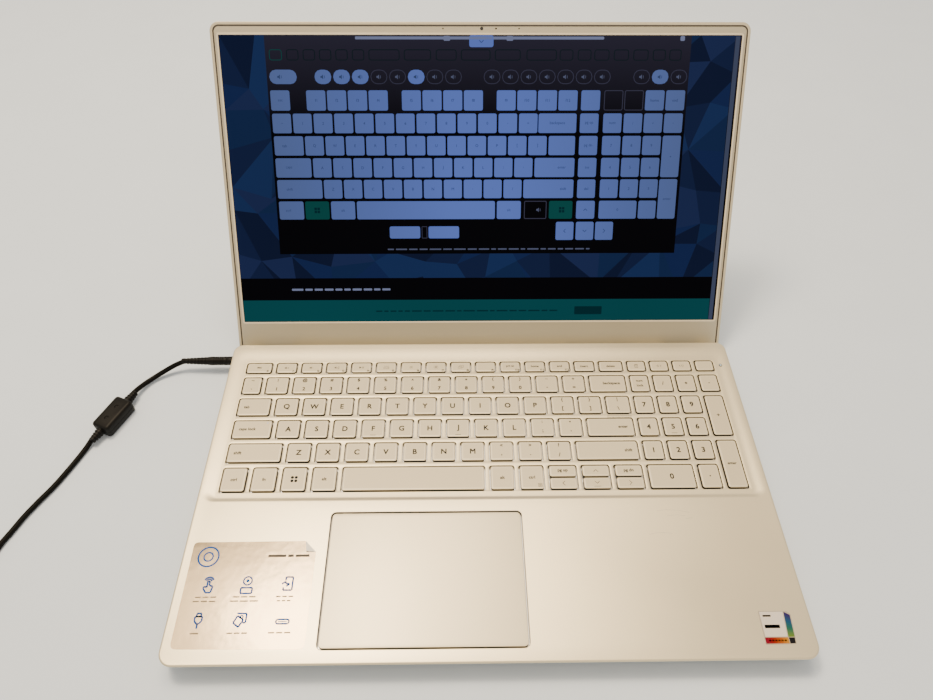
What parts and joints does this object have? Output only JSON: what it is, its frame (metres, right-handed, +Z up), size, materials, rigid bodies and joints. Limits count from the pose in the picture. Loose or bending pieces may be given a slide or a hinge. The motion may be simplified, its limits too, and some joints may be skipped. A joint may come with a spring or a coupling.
{
  "type": "laptop computer",
  "caption": "Open silver laptop with a full-size keyboard and numeric keypad, large offset touchpad, thin-rimmed display on a drop hinge, and its power lead plugged in.",
  "frame": {"origin": "on the table, under the middle of the open laptop's box, its power lead left out", "axes": "+X to the user's right, +Y away from the user towards the lid, +Z up"},
  "size_m": [0.5855, 0.3812, 0.1921],
  "materials": {
    "silver_case": "satin bead-blasted, light warm silver",
    "silver_plastic": "satin painted plastic, warm silver",
    "bottom_plastic": "fine-textured moulded plastic, warm grey silver",
    "key_plastic": "satin key caps with grey legends",
    "touch_glass": "satin etched, silver",
    "display_glass": "glossy, showing a blue and black picture",
    "lens_glass": "clear gloss over a dark iris",
    "rubber_black": "matt",
    "gasket_rubber": "matt dark grey",
    "steel_plate": "stamped",
    "hinge_steel": "zinc-plated, greased",
    "pin_steel": "ground",
    "screw_steel": "blackened",
    "port_steel": "plated shells",
    "battery_foil": "black wrapped foil pouches",
    "circuit_board": "green solder mask with dark parts",
    "black_plastic": "moulded, fine grain",
    "fan_plastic": "moulded",
    "copper_pipe": "drawn copper",
    "cell_steel": "bright",
    "ribbon": "flat film cable",
    "cord_black": "satin black jacket"
  },
  "bodies": {
    "base": {"top_case": "silver_case", "bottom_cover": "bottom_plastic", "keyboard_plate": "steel_plate", "touchpad_bracket": "steel_plate", "battery_pack": "battery_foil", "main_board": "circuit_board", "fan_housing": "fan_plastic", "heat_sink": "copper_pipe", "ssd_module": "circuit_board", "memory_modules": "circuit_board", "wifi_card": "circuit_board", "coin_cell": "cell_steel", "speakers": "black_plastic", "io_board": "circuit_board", "dc_jack": "black_plastic", "hdmi_port": "port_steel", "usb_a_ports": "port_steel", "usb_c_port": "port_steel", "audio_jack": "black_plastic", "card_reader": "port_steel", "hinge_brackets": "hinge_steel", "rear_foot": "rubber_black", "front_feet": "rubber_black", "base_screws": "screw_steel", "flat_cables": "ribbon"},
    "lid": {"lid_back_cover": "silver_case", "lid_bezel": "silver_plastic", "lid_gasket": "gasket_rubber", "display_panel": "display_glass", "camera_module": "circuit_board", "camera_lens": "lens_glass", "hinge_arms": "hinge_steel", "hinge_pins": "pin_steel", "display_cable": "black_plastic"},
    "fan": {"fan_impeller": "fan_plastic"},
    "touchpad_plate": {"touchpad": "touch_glass"},
    "power_key": {"power_button": "key_plastic"},
    "escape_key_body": {"escape_key": "key_plastic"},
    "function_keys_body": {"function_keys": "key_plastic"},
    "number_keys_body": {"number_keys": "key_plastic"},
    "backspace_key_body": {"backspace_key": "key_plastic"},
    "tab_key_body": {"tab_key": "key_plastic"},
    "upper_letter_keys_body": {"upper_letter_keys": "key_plastic"},
    "caps_lock_key_body": {"caps_lock_key": "key_plastic"},
    "home_letter_keys_body": {"home_letter_keys": "key_plastic"},
    "enter_key_body": {"enter_key": "key_plastic"},
    "left_shift_key_body": {"left_shift_key": "key_plastic"},
    "lower_letter_keys_body": {"lower_letter_keys": "key_plastic"},
    "right_shift_key_body": {"right_shift_key": "key_plastic"},
    "modifier_keys_body": {"modifier_keys": "key_plastic"},
    "space_bar_body": {"space_bar": "key_plastic"},
    "arrow_keys_body": {"arrow_keys": "key_plastic"},
    "numpad_keys_body": {"numpad_keys": "key_plastic"},
    "power_lead": {"dc_plug": "black_plastic", "lead_tube": "cord_black", "inline_block": "black_plastic", "lead_coil": "cord_black", "lead_tie": "rubber_black", "power_adapter": "black_plastic"}
  },
  "joints": [
    {"name": "lid_hinge", "type": "hinge", "parent": "base", "child": "lid", "pos_m": [0, 0.04597, 0.0106], "axis": [-1, 0, 0], "range_deg": [-123.5, 11.5]},
    {"name": "fan_spin", "type": "hinge", "parent": "base", "child": "fan", "pos_m": [0.087, 0.00337, 0.0078], "axis": [0, 0, 1], "continuous": true},
    {"name": "touchpad_click", "type": "slide", "parent": "base", "child": "touchpad_plate", "axis": [0, 0, -1], "range_m": [0, 0.0004], "stiffness_N_per_m": 3000, "springref_m": -0.0005},
    {"name": "power_press", "type": "slide", "parent": "base", "child": "power_key", "axis": [0, 0, -1], "range_m": [0, 0.0012], "stiffness_N_per_m": 150, "springref_m": -0.001},
    {"name": "escape_press", "type": "slide", "parent": "base", "child": "escape_key_body", "axis": [0, 0, -1], "range_m": [0, 0.0012], "stiffness_N_per_m": 150, "springref_m": -0.001},
    {"name": "function_press", "type": "slide", "parent": "base", "child": "function_keys_body", "axis": [0, 0, -1], "range_m": [0, 0.0012], "stiffness_N_per_m": 150, "springref_m": -0.001},
    {"name": "number_press", "type": "slide", "parent": "base", "child": "number_keys_body", "axis": [0, 0, -1], "range_m": [0, 0.0012], "stiffness_N_per_m": 150, "springref_m": -0.001},
    {"name": "backspace_press", "type": "slide", "parent": "base", "child": "backspace_key_body", "axis": [0, 0, -1], "range_m": [0, 0.0012], "stiffness_N_per_m": 150, "springref_m": -0.001},
    {"name": "tab_press", "type": "slide", "parent": "base", "child": "tab_key_body", "axis": [0, 0, -1], "range_m": [0, 0.0012], "stiffness_N_per_m": 150, "springref_m": -0.001},
    {"name": "upper_letter_press", "type": "slide", "parent": "base", "child": "upper_letter_keys_body", "axis": [0, 0, -1], "range_m": [0, 0.0012], "stiffness_N_per_m": 150, "springref_m": -0.001},
    {"name": "caps_lock_press", "type": "slide", "parent": "base", "child": "caps_lock_key_body", "axis": [0, 0, -1], "range_m": [0, 0.0012], "stiffness_N_per_m": 150, "springref_m": -0.001},
    {"name": "home_letter_press", "type": "slide", "parent": "base", "child": "home_letter_keys_body", "axis": [0, 0, -1], "range_m": [0, 0.0012], "stiffness_N_per_m": 150, "springref_m": -0.001},
    {"name": "enter_press", "type": "slide", "parent": "base", "child": "enter_key_body", "axis": [0, 0, -1], "range_m": [0, 0.0012], "stiffness_N_per_m": 150, "springref_m": -0.001},
    {"name": "left_shift_press", "type": "slide", "parent": "base", "child": "left_shift_key_body", "axis": [0, 0, -1], "range_m": [0, 0.0012], "stiffness_N_per_m": 150, "springref_m": -0.001},
    {"name": "lower_letter_press", "type": "slide", "parent": "base", "child": "lower_letter_keys_body", "axis": [0, 0, -1], "range_m": [0, 0.0012], "stiffness_N_per_m": 150, "springref_m": -0.001},
    {"name": "right_shift_press", "type": "slide", "parent": "base", "child": "right_shift_key_body", "axis": [0, 0, -1], "range_m": [0, 0.0012], "stiffness_N_per_m": 150, "springref_m": -0.001},
    {"name": "modifier_press", "type": "slide", "parent": "base", "child": "modifier_keys_body", "axis": [0, 0, -1], "range_m": [0, 0.0012], "stiffness_N_per_m": 150, "springref_m": -0.001},
    {"name": "space_press", "type": "slide", "parent": "base", "child": "space_bar_body", "axis": [0, 0, -1], "range_m": [0, 0.0012], "stiffness_N_per_m": 150, "springref_m": -0.001},
    {"name": "arrow_press", "type": "slide", "parent": "base", "child": "arrow_keys_body", "axis": [0, 0, -1], "range_m": [0, 0.0012], "stiffness_N_per_m": 150, "springref_m": -0.001},
    {"name": "numpad_press", "type": "slide", "parent": "base", "child": "numpad_keys_body", "axis": [0, 0, -1], "range_m": [0, 0.0012], "stiffness_N_per_m": 150, "springref_m": -0.001},
    {"name": "plug_pull", "type": "slide", "parent": "base", "child": "power_lead", "axis": [-1, 0, 0], "range_m": [0, 0.012]}
  ]
}
